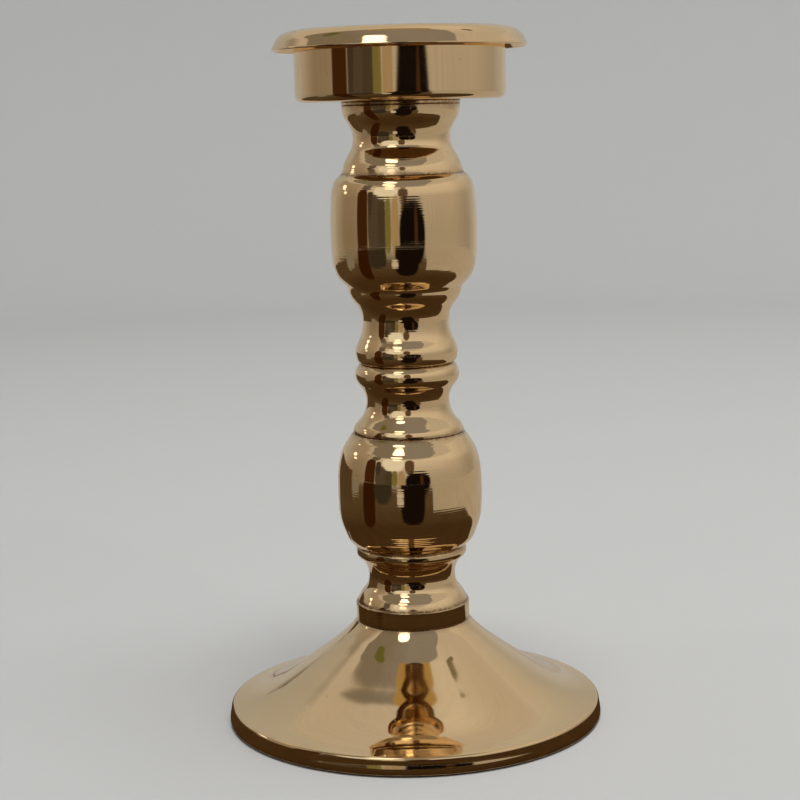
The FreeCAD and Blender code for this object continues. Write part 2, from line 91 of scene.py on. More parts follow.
upper_bulb_outline = [
    (0.63996, 0.0, 60), (0.70309, 0.045, 0), (0.65515, 0.09, -27), (0.59425, 0.172, 0),
    (0.69006, 0.239, 40), (0.76973, 0.286, 8), (0.87105, 0.326, 42), (0.97951, 0.405, 7),
    (1.0, 0.517, 0), (0.97743, 0.66, -5), (0.83587, 0.7375, -64),
]
neck_outline = [
    (0.83587, 0.7375, -20), (0.77909, 0.787, -26), (0.66086, 0.8715, 0), (0.74009, 0.939, 36),
    (0.80104, 0.984, 3), (0.80104, 0.99626, 0), (0.78798, 1.0, -90),
]

# Soft patches of painted light on the cards round the holder, seen only in the metal: bright
# ones paint highlights, dark ones paint dark reflections. Azimuth, elevation, half width and
# half height in degrees, colour; azimuth 0 is the camera's side
room_reflection_patches = [
    (-67, 4, 10, 24, (0.045, 0.018, 0.005)), (-63, 33, 9, 10, (0.11, 0.10, 0.09)),
    (-43, 2, 15, 14, (0.075, 0.062, 0.05)), (-53, 13, 5, 9, (0.05, 0.04, 0.03)),
    (-28, 24, 21, 14, (0.74, 0.76, 0.76)), (-23, 33, 9, 4, (1.5, 1.5, 1.45)),
    (-33, 2, 7, 10, (0.06, 0.05, 0.035)), (-24, 2, 5, 11, (0.17, 0.16, 0.055)),
    (-13, 1, 6, 12, (0.34, 0.27, 0.18)), (0, 20, 8.5, 13, (0.10, 0.065, 0.045)),
    (13, -2, 21, 13, (0.006, 0.004, 0.003)), (19, -1, 3, 9, (0.05, 0.022, 0.01)),
    (-112, 20, 5, 3.5, (1.7, 1.7, 1.6)), (-105, 13, 4, 2.5, (1.5, 1.5, 1.4)),
]
# Painted highlights and dark reflections on the ceiling card, in the same columns
ceiling_reflection_patches = [
    (-92, 58, 9, 6, (0.12, 0.13, 0.04)), (99, 60, 5, 4, (0.17, 0.16, 0.10)),
    (-26, 54, 16, 6, (2.5, 2.45, 2.3)), (-25, 40, 13, 3, (1.9, 1.85, 1.7)),
]
# Painted dark reflections and one pale painted glint on the floor card, which the metal shows in
# place of the pale floor
floor_reflection_patches = [
    (-67, -16, 12, 24, (0.028, 0.010, 0.002)), (-43, -9, 16, 9, (0.035, 0.03, 0.022)),
    (4, -14, 20, 20, (0.008, 0.005, 0.003)), (-15, -14.5, 6, 4, (0.5, 0.48, 0.46)),
]


def measure(name, description, millimetres):
    """Length property whose default is given in millimetres."""
    return FloatProperty(name=name, description=description, default=millimetres * MM,
                         unit="LENGTH", precision=5)


def swatch(name, description, colour):
    """Colour property with its default in linear light."""
    return FloatVectorProperty(name=name, description=description, default=colour,
                               subtype="COLOR", min=0, max=1)


class HolderSizes(bpy.types.PropertyGroup):
    """Sizes of the pieces that their boxes in the frame don't give"""

    sectors: IntProperty(
        name="Sectors", description="Facets around a turned piece", default=208, min=24)
    corner_easing: measure("Corner Easing", "Length of a corner that polishing has rounded", 0.16)
    foot_wall: measure("Foot Wall", "Thickness of the cast foot's shell", 2.2)
    foot_land_radius: measure("Foot Land", "Inner radius of the rim that the foot stands on", 55)
    foot_land_depth: measure("Land Depth", "Height of the rim's inner edge", 3.4)
    foot_web: measure("Foot Web", "Thickness of the web at the foot's top", 5)
    stem_wall: measure("Stem Wall", "Wall of the hollow stem castings", 2.5)
    end_web: measure("End Web", "Solid web at each end of a stem casting", 4.2)
    end_bore: measure("End Bore", "Radius of the bore through a casting's end", 8)
    seat_radius: measure("Ring Seat", "Radius of the recess for a centring ring", 9.85)
    seat_depth: measure("Seat Depth", "Depth of the recess for a centring ring", 2.1)
    rod_hole: measure("Rod Hole", "Radius of the holes that the tie rod passes", 3.3)
    cup_sheet: measure("Cup Sheet", "Thickness of the spun cup", 1)
    cup_corner: measure("Cup Corner", "Outer radius between the cup's floor and wall", 2.5)
    pan_sheet: measure("Pan Sheet", "Thickness of the pressed candle pan", 0.9)
    pan_bore: measure("Pan Bore", "Inside radius of the candle pan", 26.5)
    pan_corner: measure("Pan Corner", "Inside radius between the pan's floor and wall", 1.5)
    pan_roll: measure("Pan Roll", "Radius of the roll from the pan's wall to its crest", 2.5)
    lip_radius: measure("Lip Radius", "Radius of the lip's top side at its edge", 39.5)
    lip_drop: measure("Lip Drop", "How far the lip falls from the crest", 5.55)
    thread_pitch: measure("Thread Pitch", "Pitch of the thread on the tie rod", 1)
    thread_depth: measure("Thread Depth", "Depth of the thread on the tie rod", 0.54)
    thread_length: measure("Thread Length", "Length of thread at each end of the tie rod", 15)
    ripple_pitch: measure("Ripple Pitch", "Spacing of the rings that turning has left", 0.7)


class HolderColours(bpy.types.PropertyGroup):
    """Colours of the metals, the felt and the studio"""

    polished_gold: swatch("Polished Gold", "Clean polished metal", (0.93, 0.69, 0.40))
    tarnished_gold: swatch(
        "Tarnished Gold", "Brown film in seams and around pits", (0.15, 0.075, 0.03))
    cast_gold: swatch("Cast Gold", "Unpolished metal inside the castings", (0.62, 0.44, 0.22))
    turned_brass: swatch("Turned Brass", "Centring rings", (0.78, 0.56, 0.24))
    zinc: swatch("Zinc", "Plated rod, nuts and washers", (0.63, 0.64, 0.63))
    felt: swatch("Felt", "Felt ring under the foot", (0.035, 0.028, 0.024))
    studio: swatch("Studio", "Seamless pale floor and wall", (0.52, 0.52, 0.51))
    # Painted dark reflection that the metal shows under it in place of the pale floor
    near_floor: swatch(
        "Near Floor Card", "What the metal shows close under its middle", (0.052, 0.030, 0.013))
    far_floor: swatch("Far Floor Card", "The same card further away", (0.085, 0.062, 0.036))


# Outlines: rows of radius, level and lean in radians

def arc(start, lean, finish):
    """Rows along the arc from start to finish that leaves start with the given lean.

    With the chord c and the angle f from it to the leaving direction, the point at share s
    is start + |c| sin(f s) / sin(f), turned f (1 - s) from the chord, and the direction
    there is turned f (1 - 2 s) from the chord.
    """
    chord = np.subtract(finish, start)
    length = float(np.hypot(chord[0], chord[1]))
    base = math.atan2(chord[1], chord[0])
    bend = math.remainder(math.pi / 2 - lean - base, 2 * math.pi)
    count = 1 + max(3, math.ceil(abs(bend) * 2 / ROW_TURN), math.ceil(length / ROW_STEP))
    share = np.linspace(0, 1, count)
    if abs(bend) < 1e-7:
        reach = length * share
    else:
        reach = length * np.sin(bend * share) / math.sin(bend)
    angle = base + bend * (1 - share)
    heading = base + bend * (1 - 2 * share)
    radius = start[0] + reach * np.cos(angle)
    level = start[1] + reach * np.sin(angle)
    return np.stack([radius, level, math.pi / 2 - heading], axis=1)


def two_arcs(first, second):
    """Rows from one (radius, level, lean) to another along two arcs that meet smoothly.

    Both arcs' control lengths are d, where the two control points P + d T and Q - d U are
    2 d apart. The arcs meet halfway between these points.
    """
    start, finish = np.array(first[:2]), np.array(second[:2])
    heading = np.array([math.sin(first[2]), math.cos(first[2])])
    arrival = np.array([math.sin(second[2]), math.cos(second[2])])
    gap = finish - start
    reach = gap @ (heading + arrival)
    spread = 2 * (1 - heading @ arrival)
    if spread < 1e-9:
        length = gap @ gap / (2 * reach)
    else:
        length = (math.sqrt(reach * reach + spread * (gap @ gap)) - reach) / spread
    before = start + heading * length
    after = finish - arrival * length
    turn = after - before
    middle = (before + after) / 2
    opening = arc(start, first[2], middle)
    closing = arc(middle, math.atan2(turn[0], turn[1]), finish)
    return np.vstack([opening, closing[1:]])


def smooth_run(stations):
    """Rows of a smooth outline through (radius, level, lean in radians) stations."""
    rows = [two_arcs(first, second)[1:] for first, second in zip(stations, stations[1:])]
    return np.vstack([stations[:1], *rows])


def placed(outline, radius, low, high):
    """Stations in metres from shares of a radius and of the height between two levels."""
    return [(r * radius, low + z * (high - low), math.radians(lean)) for r, z, lean in outline]


def straight(start, finish):
    """Rows of a straight line between two (radius, level) points."""
    lean = math.atan2(finish[0] - start[0], finish[1] - start[1])
    return np.array([(start[0], start[1], lean), (finish[0], finish[1], lean)], dtype=float)


def straights(*points):
    """Straight runs through (radius, level) points in turn."""
    return [straight(start, finish) for start, finish in zip(points, points[1:])]


def backwards(rows):
    """The same rows run the other way, so that they face the other side."""
    turned = rows[::-1].copy()
    turned[:, 2] += math.pi
    return turned


def inset(station, wall):
    """The station moved square to its lean, towards the axis side, by the wall."""
    radius, level, lean = station
    return (radius - wall * math.cos(lean), level + wall * math.sin(lean), lean)


def run_length(rows):
    """Distance along the rows from the first one."""
    steps = np.hypot(np.diff(rows[:, 0]), np.diff(rows[:, 1]))
    return np.concatenate([[0], np.cumsum(steps)])


def trimmed(rows, head, tail):
    """Rows without the given lengths at their start and end, by linear interpolation."""
    along = run_length(rows)
    last = along[-1] - tail
    inside = (along > head + 1e-7) & (along < last - 1e-7)
    stops = np.concatenate([[head], along[inside], [last]])
    lean = np.unwrap(rows[:, 2])
    columns = [np.interp(stops, along, column) for column in (rows[:, 0], rows[:, 1], lean)]
    return np.stack(columns, axis=1)


def eased(runs, easing, closed=True):
    """One outline from runs that meet at corners, each corner rounded over by easing."""
    count = len(runs)
    cut = [min(easing, 0.4 * run_length(run)[-1]) for run in runs]
    corners = [min(cut[k - 1], cut[k]) for k in range(count)]
    if not closed:
        corners[0] = 0
    ends = corners[1:] + [corners[0]]
    cuts = [trimmed(run, head, tail) for run, head, tail in zip(runs, corners, ends)]
    rows = [cuts[0]]
    for before, after in zip(cuts, cuts[1:]):
        rows.append(two_arcs(before[-1], after[0])[1:-1])
        rows.append(after)
    if closed:
        rows.append(two_arcs(cuts[-1][-1], cuts[0][0])[1:-1])
    return np.vstack(rows)


# Surfaces

def fill_mesh(name, corners, faces, normals=None, crease=38, **attributes):
    """Smooth mesh object from arrays, with its own attributes.

    Without normals of its own, it is sharp where it turns more than crease degrees.
    """
    mesh = bpy.data.meshes.new(name)
    mesh.from_pydata(corners.tolist(), [], faces)
    mesh.polygons.foreach_set("use_smooth", np.ones(len(mesh.polygons), dtype=bool))
    for key, values in attributes.items():
        values = np.ascontiguousarray(values, dtype=np.float32)
        kind, field = ("FLOAT_COLOR", "color") if values.ndim == 2 else ("FLOAT", "value")
        layer = mesh.attributes.new(key, kind, "POINT")
        layer.data.foreach_set(field, values.ravel())
    if normals is None:
        mesh.set_sharp_from_angle(angle=math.radians(crease))
    else:
        mesh.normals_split_custom_set_from_vertices(normals.tolist())
    mesh.validate()
    mesh.update()
    piece = bpy.data.objects.new(name, mesh)
    bpy.context.scene.collection.objects.link(piece)
    return piece


def grid_faces(rows, columns, close_rows, close_columns, low_pole=False, high_pole=False):
    """Faces of a grid of corners, wrapped either way, with triangles at its poles.

    Corner (i, j) has number i * columns + j. A pole is one extra corner after the grid.
    """
    last = rows if close_rows else rows - 1
    sides = columns if close_columns else columns - 1
    i, j = np.meshgrid(np.arange(last), np.arange(sides), indexing="ij")
    ahead, beside = (i + 1) % rows, (j + 1) % columns
    quads = np.stack([
        i * columns + j, i * columns + beside, ahead * columns + beside, ahead * columns + j,
    ], axis=-1).reshape(-1, 4)
    faces = quads.tolist()
    j = np.arange(sides)
    beside = (j + 1) % columns
    pole = rows * columns
    if low_pole:
        fan = np.stack([np.full(sides, pole), beside, j], axis=1)
        faces += fan.tolist()
        pole += 1
    if high_pole:
        base = (rows - 1) * columns
        fan = np.stack([np.full(sides, pole), base + j, base + beside], axis=1)
        faces += fan.tolist()
    return faces


def around(radius, angle, level):
    """Corners (r cos v, r sin v, z) of rows of radii and levels at every angle."""
    corners = [radius * np.cos(angle), radius * np.sin(angle), level + 0 * angle]
    return np.stack(corners, axis=-1).reshape(-1, 3)


def seam_dirt(rows, seams, reach=0.9 * MM):
    """How close each row is to a seam: exp(-distance / reach), so 1 on the seam."""
    near = np.zeros(len(rows))
    for radius, level in seams:
        away = np.hypot(rows[:, 0] - radius, rows[:, 1] - level)
        near = np.maximum(near, np.exp(-away / reach))
    return near


def raw_inside(rows, seat, rim=0.2 * MM):
    """1 where a casting is left rough: facing the axis, or within rim of its ring seat."""
    facing_in = np.cos(rows[:, 2]) < -0.05
    return (facing_in | (rows[:, 0] < seat + rim)).astype(float)


def soft_step(value):
    """Value from 0 to 1 eased at both ends: v v (3 - 2 v)."""
    return value * value * (3 - 2 * value)


def turned(name, rows, closed=True, seams=(), inside=None, ripple=1.0):
    """Surface turned about Z from outline rows, with a pole where an open one meets the axis.

    The point at row u and angle v is (r(u) cos v, r(u) sin v, z(u)). Its normal is
    (cos a cos v, cos a sin v, -sin a), where a is the outline's lean at u. Its attributes
    are the way along the outline in millimetres, the dirt of its seams, where it is left
    as cast, and how strongly it shows the rings of turning.
    """
    sectors = bpy.context.scene.holder_sizes.sectors
    angle = np.arange(sectors) * (2 * math.pi / sectors)
    along = run_length(rows)
    dirt = seam_dirt(rows, seams)
    rough = np.zeros(len(rows)) if inside is None else inside
    low_pole = not closed and rows[0, 0] < 1e-9
    high_pole = not closed and rows[-1, 0] < 1e-9
    poles = [rows[k] for k, wanted in ((0, low_pole), (-1, high_pole)) if wanted]
    keep = slice(1 if low_pole else 0, len(rows) - 1 if high_pole else len(rows))
    body, along, dirt, rough = rows[keep], along[keep], dirt[keep], rough[keep]
    radius, level, lean = body[:, 0:1], body[:, 1:2], body[:, 2:3]
    corners = around(radius, angle, level)
    normals = around(np.cos(lean), angle, -np.sin(lean))
    values = [np.repeat(column, sectors) for column in (along, dirt, rough)]
    for row in poles:
        corners = np.vstack([corners, [0, 0, row[1]]])
        normals = np.vstack([normals, [0, 0, -math.copysign(1, math.sin(row[2]))]])
        values = [np.append(column, column[-1]) for column in values]
    faces = grid_faces(len(body), sectors, closed, True, low_pole, high_pole)
    return fill_mesh(name, corners, faces, normals, along=values[0] / MM, grime=values[1],
                     cast=values[2], ripple=np.full(len(corners), ripple))


def dress(piece, material, body, slot, *nodes):
    """Gives a piece its material and its body, and hides the nodes that it stands for; the finish
    slot is not used.
    """
    piece.data.materials.append(material)
    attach(piece, body)
    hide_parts(*nodes)


def gilded(name, rows, node, body="holder", **looks):
    """Turned piece of polished gold, with turned's own settings as its looks."""
    dress(turned(name, rows, **looks), finish_of("polished_gold"), body, "gold", node)


def plated(piece, node):
    """Zinc-plated piece of hardware."""
    dress(piece, finish_of("zinc_plate"), "holder", "steel", node)


def levels(node):
    """Outer radius, low level and high level of a node's box."""
    low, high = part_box(node)
    return high.x, low.z, high.z


# Materials

class Bench:
    """Node tree of one material, with short calls for its nodes."""

    def __init__(self, name):
        self.material = bpy.data.materials.new(name)
        self.material.use_nodes = True
        self.tree = self.material.node_tree
        self.shader = self.tree.nodes["Principled BSDF"]
        self.column = -300

    def put(self, socket, value):
        """Links an output to an input socket, or sets the socket to a number or colour."""
        if isinstance(value, bpy.types.NodeSocket):
            self.tree.links.new(value, socket)
        elif socket.type == "RGBA":
            socket.default_value = (*value, 1)
        else:
            socket.default_value = value

    def apply(self, **sockets):
        """Sets or links the shader's own sockets, and gives the material."""
        for key, value in sockets.items():
            self.put(self.shader.inputs[key.replace("_", " ")], value)
        return self.material

    def add(self, kind, label, inputs, **settings):
        """New node with its settings, and with inputs set or linked by name or number."""
        node = self.tree.nodes.new("ShaderNode" + kind)
        node.label = label
        node.location = (self.column, 200)
        self.column -= 40
        for key, value in settings.items():
            setattr(node, key, value)
        for key, value in inputs.items():
            self.put(node.inputs[key], value)
        return node

    def place(self):
        """Object coordinates, in metres."""
        return self.add("TexCoord", "place on the piece", {}).outputs["Object"]

    def attribute(self, name, output="Fac"):
        """The piece's own attribute, as a number or as its colour."""
        return self.add("Attribute", name, {}, attribute_name=name).outputs[output]

    def noise(self, label, place, scale, detail=2.0, roughness=0.5):
        """Noise between about 0.25 and 0.75 at a scale in features per metre."""
        inputs = {"Vector": place, "Scale": scale, "Detail": detail, "Roughness": roughness}
        return self.add("TexNoise", label, inputs).outputs["Fac"]

    def rings(self, label, distance, scale, detail=1.0):
        """Noise along one length, such as the distance along an outline."""
        inputs = {"W": distance, "Scale": scale, "Detail": detail}
        return self.add("TexNoise", label, inputs, noise_dimensions="1D").outputs["Fac"]

    def math(self, operation, *values):
        """One arithmetic step."""
        filled = values + (0.0,) * (3 - len(values))
        return self.add("Math", operation.lower(), dict(enumerate(filled)),
                        operation=operation).outputs[0]

    def stretch(self, value, low, high, start, end):
        """Maps low..high to start..end, held at both ends."""
        inputs = {"Value": value, "From Min": low, "From Max": high, "To Min": start,
                  "To Max": end}
        return self.add("MapRange", "range", inputs).outputs["Result"]

    def blend(self, label, share, first, second):
        """Colour that goes from first to second with share."""
        inputs = {0: share, 6: first, 7: second}
        return self.add("Mix", label, inputs, data_type="RGBA").outputs[2]

    def bump(self, label, height, depth, normal=None):
        """Bump whose height of 1 stands depth metres proud, over an earlier bump if given."""
        inputs = {"Height": height, "Strength": 1.0, "Distance": depth}
        if normal is not None:
            inputs["Normal"] = normal
        return self.add("Bump", label, inputs).outputs["Normal"]


def shaded(colour, *shares):
    """Colour with its red, green and blue multiplied by the shares."""
    return tuple(c * k for c, k in zip(colour, shares))


def polished_gold(colours):
    """Mirror-polished casting: turning rings, smudges, pits, tarnish and raw cast inside."""
    bench = Bench("polished_gold")
    bench.apply(Metallic=1.0, Base_Color=colours.polished_gold, Roughness=0.05)
    place = bench.place()
    along, grime, cast = [bench.attribute(name) for name in ("along", "grime", "cast")]
    cells = bench.add("TexVoronoi", "pits", {"Vector": place, "Scale": 330.0})
    pit_here = bench.math("GREATER_THAN", cells.outputs["Color"], 0.8)
    pit_shape = bench.stretch(cells.outputs["Distance"], 0.0, 0.10, 1.0, 0.0)
    pit = bench.math("MULTIPLY", pit_here, pit_shape)
    torn = bench.noise("torn edge of the film", place, 900, 3)
    film = bench.math("MULTIPLY", bench.stretch(grime, 0.12, 0.95, 0.0, 0.85),
                      bench.stretch(torn, 0.3, 0.62, 0.35, 1))
    stain = bench.math("MAXIMUM", film, bench.math("MULTIPLY", pit, 0.75))
    cloud = bench.noise("tone drift", place, 22, 2)
    tone = bench.blend("tone drift", bench.stretch(cloud, 0.35, 0.65, 0, 1),
                       colours.polished_gold, shaded(colours.polished_gold, 0.985, 0.965, 0.93))
    worn = bench.blend("film in the seams", stain, tone, colours.tarnished_gold)
    smudge = bench.noise("wiping smudges", place, 38, 4, 0.6)
    gloss = bench.stretch(smudge, 0.38, 0.72, 0.035, 0.085)
    gloss = bench.math("MULTIPLY_ADD", stain, 0.35, gloss)
    pitch = bpy.context.scene.holder_sizes.ripple_pitch / MM
    wave = bench.math("SINE", bench.math("MULTIPLY", along, 2 * math.pi / pitch))
    patch = bench.stretch(bench.noise("where rings stayed", place, 55, 1), 0.4, 0.62, 0.15, 1)
    patch = bench.math("MULTIPLY", patch, bench.attribute("ripple"))
    rings = bench.math("MULTIPLY_ADD", wave, 0.16, bench.rings("uneven rings", along, 1 / pitch))
    normal = None
    for label, height, depth in (
            ("turning rings", bench.math("MULTIPLY", rings, patch), 0.011),
            ("polishing lines", bench.rings("polishing lines", along, 9, 2), 0.00022),
            ("hand-polished swell", bench.noise("hand-polished swell", place, 75, 1), 0.012),
            ("pits", bench.math("MULTIPLY", pit, -1.0), 0.02),
            ("cast grain", bench.math(
                "MULTIPLY", bench.noise("cast grain", place, 1400, 4, 0.65), cast), 0.16)):
        normal = bench.bump(label, height, depth * MM, normal)
    return bench.apply(
        Base_Color=bench.blend("raw inside", cast, worn, colours.cast_gold),
        Roughness=bench.math("MAXIMUM", gloss, bench.math("MULTIPLY", cast, 0.42)),
        Normal=normal)


def zinc_plate(colours):
    """Zinc-plated steel: dull grey, faint yellow and blue clouds, fine grain."""
    bench = Bench("zinc_plate")
    bench.apply(Metallic=1.0, Base_Color=colours.zinc, Roughness=0.3)
    place = bench.place()
    cloud = bench.stretch(bench.noise("plating clouds", place, 260, 3), 0.36, 0.64, 0, 1)
    dull = bench.noise("dull spots", place, 900, 3)
    grain = bench.noise("plating grain", place, 2600, 3)
    cold, warm = shaded(colours.zinc, 0.86, 0.92, 1.0), shaded(colours.zinc, 1.06, 1.0, 0.84)
    return bench.apply(
        Base_Color=bench.blend("plating tint", cloud, cold, warm),
        Roughness=bench.stretch(dull, 0.35, 0.7, 0.22, 0.42),
        Normal=bench.bump("plating grain", grain, 0.012 * MM))


def turned_brass(colours):
    """Turned brass ring: rings left by the tool, slightly dull."""
    bench = Bench("turned_brass")
    bench.apply(Metallic=1.0, Base_Color=colours.turned_brass, Roughness=0.25)
    place = bench.place()
    x, y, z = bench.add("SeparateXYZ", "place", {0: place}).outputs
    square = bench.math("ADD", bench.math("MULTIPLY", x, x), bench.math("MULTIPLY", y, y))
    run = bench.math("DIVIDE", bench.math("ADD", bench.math("SQRT", square), z), MM)
    groove = bench.rings("tool marks", run, 7, 2)
    drift = bench.noise("tone drift", place, 300, 3)
    return bench.apply(
        Base_Color=bench.blend("tone drift", bench.stretch(drift, 0.35, 0.65, 0, 1),
                               colours.turned_brass, shaded(colours.turned_brass, 0.8, 0.8, 0.8)),
        Roughness=bench.stretch(drift, 0.3, 0.7, 0.2, 0.34),
        Normal=bench.bump("tool marks", groove, 0.004 * MM))


def pressed_felt(colours):
    """Dark pressed felt: short tangled fibres and a soft sheen."""
    bench = Bench("pressed_felt")
    bench.apply(Roughness=0.95, Specular_IOR_Level=0.15, Sheen_Weight=0.35)
    place = bench.place()
    fibre = bench.noise("fibres", place, 3200, 4, 0.7)
    tuft = bench.noise("tufts", place, 420, 3)
    pale = tuple(min(1, c * 2.6 + 0.01) for c in colours.felt)
    loose = bench.math("MULTIPLY", bench.stretch(fibre, 0.35, 0.7, 0, 1),
                       bench.stretch(tuft, 0.3, 0.7, 0.35, 1))
    normal = bench.bump("fibres", fibre, 0.12 * MM)
    return bench.apply(
        Base_Color=bench.blend("loose fibres", loose, colours.felt, pale),
        Normal=bench.bump("tufts", tuft, 0.15 * MM, normal))


def studio_paint(colours):
    """Matt studio surface with a faint unevenness."""
    bench = Bench("studio_paint")
    drift = bench.noise("unevenness", bench.place(), 2.5, 2)
    low = shaded(colours.studio, 0.985, 0.985, 0.985)
    return bench.apply(
        Roughness=0.9, Specular_IOR_Level=0.2,
        Base_Color=bench.blend("unevenness", drift, colours.studio, low))


def finish_of(name):
    """The named material, made once."""
    if name not in bpy.data.materials:
        makers = (polished_gold, zinc_plate, turned_brass, pressed_felt, studio_paint)
        named = {maker.__name__: maker for maker in makers}
        named[name](bpy.context.scene.holder_colours)
    return bpy.data.materials[name]


# Castings

def casting_inside(hollow, low, high, sizes):
    """Inside of a stem casting, from the top ring seat down through the hollow."""
    bore, seat, depth = sizes.end_bore, sizes.seat_radius, sizes.seat_depth
    web_low, web_high = low + sizes.end_web, high - sizes.end_web
    bottom, top = hollow[0, :2], hollow[-1, :2]
    return [
        *straights((seat, high), (seat, high - depth), (bore, high - depth), (bore, web_high),
                   (top[0], web_high), top),
        backwards(hollow),
        *straights(bottom, (bottom[0], web_low), (bore, web_low), (bore, low + depth),
                   (seat, low + depth), (seat, low)),
    ]


def stem_casting(name, node, outlines, walls=(), hollow=None, seams=None):
    """Hollow stem casting from the outlines of its outside, bottom to top.

    Walls picks a slice of each outline's stations, from which the hollow keeps a wall's
    distance, and the seams are the outlines' ends. A plain hollow comes with its seams.
    """
    sizes = bpy.context.scene.holder_sizes
    radius, low, high = levels(node)
    seat = sizes.seat_radius
    stations = [placed(outline, radius, low, high) for outline in outlines]
    if hollow is None:
        hollow = smooth_run([inset(station, sizes.stem_wall)
                             for run, (first, last) in zip(stations, walls)
                             for station in run[first:last]])
        seams = [run[end][:2] for run in stations for end in (0, -1)]
    outside = [smooth_run(run) for run in stations]
    runs = [*outside, straight(outside[-1][-1, :2], (seat, high)),
            *casting_inside(hollow, low, high, sizes), straight((seat, low), outside[0][0, :2])]
    rows = eased(runs, sizes.corner_easing)
    gilded(name, rows, node, seams=seams, inside=raw_inside(rows, seat))


class CANDLEHOLDER_OT_foot(bpy.types.Operator):
    """Cast trumpet foot: polished outside, rough hollow underneath"""

    bl_idname = "candle_holder.foot"
    bl_label = "Foot"

    def execute(self, context):
        sizes = context.scene.holder_sizes
        radius, low, high = levels("foot")
        stations = placed(foot_outline, radius, low, high)
        web = high - sizes.foot_web
        land_lean = math.radians(-72)
        land = (sizes.foot_land_radius, low + sizes.foot_land_depth, land_lean)
        under = [inset(station, sizes.foot_wall) for station in stations[6:12]]
        hollow = smooth_run([land] + under)
        hollow = hollow[hollow[:, 1] < web]
        top = hollow[-1, :2]
        bore, seat, depth = sizes.end_bore, sizes.seat_radius, sizes.seat_depth
        runs = [
            smooth_run(stations),
            *straights(stations[-1][:2], (seat, high), (seat, high - depth),
                       (bore, high - depth), (bore, web), (top[0] - 0.3 * MM, web), top),
            backwards(hollow),
            *straights(land[:2], (land[0], low), stations[0][:2]),
        ]
        rows = eased(runs, sizes.corner_easing)
        seams = [(stations[-1][0], high), (radius, low)]
        gilded("polished_foot", rows, "foot", seams=seams, inside=raw_inside(rows, seat),
               ripple=0.06)
        return {"FINISHED"}


class CANDLEHOLDER_OT_lower_stem(bpy.types.Operator):
    """Lower casting: collar band, waist, bead and lower bulb"""

    bl_idname = "candle_holder.lower_stem"
    bl_label = "Lower Stem"

    def execute(self, context):
        outlines = (collar_band_outline, lower_waist_outline, lower_bulb_outline)
        stem_casting("polished_lower_stem", "lower_stem", outlines, ((0, 0), (1, 4), (1, 6)))
        return {"FINISHED"}


class CANDLEHOLDER_OT_middle_spool(bpy.types.Operator):
    """Short casting between the seam and the V groove"""

    bl_idname = "candle_holder.middle_spool"
    bl_label = "Middle Spool"

    def execute(self, context):
        sizes = context.scene.holder_sizes
        radius, low, high = levels("middle_spool")
        shares = [station[0] for station in spool_outline]
        inner, end = shares[4] * radius - sizes.stem_wall, sizes.end_web + 0.5 * MM
        hollow = straight((inner, low + end), (inner, high - end))
        seams = [(shares[1] * radius, low), (shares[-1] * radius, high)]
        stem_casting("polished_middle_spool", "middle_spool", (spool_outline,), hollow=hollow,
                     seams=seams)
        return {"FINISHED"}


class CANDLEHOLDER_OT_upper_stem(bpy.types.Operator):
    """Upper casting: bead, waist, upper bulb and neck"""

    bl_idname = "candle_holder.upper_stem"
    bl_label = "Upper Stem"

    def execute(self, context):
        stem_casting("polished_upper_stem", "upper_stem", (upper_bulb_outline, neck_outline),
                     ((2, 10), (1, 3)))
        return {"FINISHED"}


# Disc, cup and candle pan

def flat_ring_rows(outer, inner, low, high, edge, easing):
    """Outline of a flat ring whose outer edges are rounded by edge."""
    rim = smooth_run([(outer - edge, low, OUTWARD), (outer, low + edge, 0),
                      (outer, high - edge, 0), (outer - edge, high, -OUTWARD)])
    sides = straights((outer - edge, high), (inner, high), (inner, low), (outer - edge, low))
    return eased([rim, *sides], easing)


class CANDLEHOLDER_OT_cup(bpy.types.Operator):
    """Spun cup with the thin disc under it"""

    bl_idname = "candle_holder.cup"
    bl_label = "Cup and Disc"

    def execute(self, context):
        sizes = context.scene.holder_sizes
        radius, low, high = levels("cup_disc")
        rows = flat_ring_rows(radius, sizes.rod_hole, low, high, 0.3 * MM, sizes.corner_easing)
        seams = [(radius - 0.1 * MM, low), (radius, high)]
        gilded("polished_cup_disc", rows, "cup_disc", seams=seams)
        disc_radius = radius
        radius, low, high = levels("cup")
        sheet, corner, edge = sizes.cup_sheet, sizes.cup_corner, 0.3 * MM
        outer = smooth_run([(radius - corner, low, OUTWARD), (radius, low + corner, 0),
                            (radius, high - edge, 0), (radius - edge, high, -OUTWARD)])
        inner_radius, floor = radius - sheet, low + sheet
        inner = smooth_run([(inner_radius - corner + sheet, floor, OUTWARD),
                            (inner_radius, low + corner, 0), (inner_radius, high - edge, 0),
                            (inner_radius + edge, high, OUTWARD)])
        runs = [
            outer, straight((radius - edge, high), (inner_radius + edge, high)),
            backwards(inner),
            *straights((inner_radius - corner + sheet, floor), (sizes.rod_hole, floor),
                       (sizes.rod_hole, low), (radius - corner, low)),
        ]
        rows = eased(runs, sizes.corner_easing * 0.5)
        seams = [(disc_radius, low), (radius, high)]
        gilded("polished_cup", rows, "cup", seams=seams, ripple=0.15)
        return {"FINISHED"}


